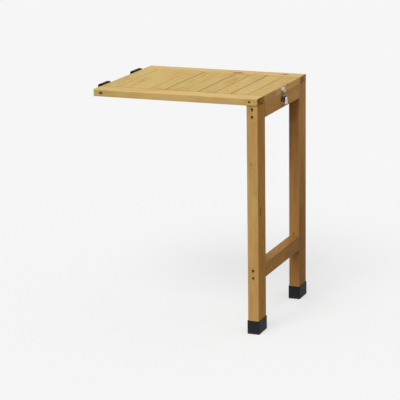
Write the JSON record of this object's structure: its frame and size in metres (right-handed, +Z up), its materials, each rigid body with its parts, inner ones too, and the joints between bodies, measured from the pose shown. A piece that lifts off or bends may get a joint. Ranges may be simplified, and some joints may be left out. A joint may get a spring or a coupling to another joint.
{
  "type": "outdoor side table",
  "caption": "Slatted wooden side table with rim hooks at one end and a leg frame at the other that folds under the top on hinges and is held by a toggle latch.",
  "frame": {"origin": "on the ground, below the middle of the box round the whole table, hooks and latch included", "axes": "+Z up; +X from the hook end to the leg end; +Y across the table, from the front plank to the back plank"},
  "size_m": [0.621, 0.4954, 0.803],
  "materials": {
    "plank_wood": "satin oil stain",
    "slat_wood": "satin oil stain",
    "batten_wood": "sawn, oil stained",
    "frame_wood": "satin oil stain",
    "cap_rubber": "moulded matt",
    "hook_black": "black powder coat",
    "hinge_steel": "zinc plated",
    "latch_zinc": "bright zinc plated",
    "screw_zinc": "zinc plated"
  },
  "bodies": {
    "table_top": {"front_plank": "plank_wood", "back_plank": "plank_wood", "hook_end_rail": "slat_wood", "leg_end_rail": "slat_wood", "slat_1": "slat_wood", "slat_2": "slat_wood", "slat_3": "slat_wood", "slat_4": "slat_wood", "slat_5": "slat_wood", "slat_6": "slat_wood", "slat_7": "slat_wood", "slat_8": "slat_wood", "front_batten": "batten_wood", "back_batten": "batten_wood", "front_hook": "hook_black", "back_hook": "hook_black", "hinge_top_leaves": "hinge_steel", "hinge_pins": "hinge_steel", "latch_keeper": "latch_zinc", "plank_screws": "screw_zinc", "slat_screws": "screw_zinc", "batten_screws": "screw_zinc", "hook_screws": "hook_black", "hinge_top_screws": "screw_zinc", "keeper_screws": "screw_zinc"},
    "leg_frame": {"front_leg": "frame_wood", "back_leg": "frame_wood", "top_rail": "frame_wood", "stretcher": "frame_wood", "front_foot_cap": "cap_rubber", "back_foot_cap": "cap_rubber", "hinge_leg_leaves": "hinge_steel", "latch_base": "latch_zinc", "latch_pin": "latch_zinc", "leg_screws": "screw_zinc", "hinge_leg_screws": "screw_zinc", "latch_base_screws": "screw_zinc"},
    "lever": {"latch_lever": "latch_zinc"},
    "loop": {"latch_loop": "latch_zinc"}
  },
  "joints": [
    {"name": "leg_fold", "type": "hinge", "parent": "table_top", "child": "leg_frame", "pos_m": [0.2542, 0, 0.7737], "axis": [0, 1, 0], "range_deg": [0, 88]},
    {"name": "latch_open", "type": "hinge", "parent": "leg_frame", "child": "lever", "pos_m": [0.3015, 0, 0.76145], "axis": [0, -1, 0], "range_deg": [0, 75]},
    {"name": "loop_swing", "type": "hinge", "parent": "lever", "child": "loop", "pos_m": [0.3015, 0, 0.75245], "axis": [0, -1, 0], "range_deg": [-57, 0]}
  ],
  "couplings": [
    {"joint": "loop_swing", "follows": "latch_open", "ratio": -0.75}
  ]
}
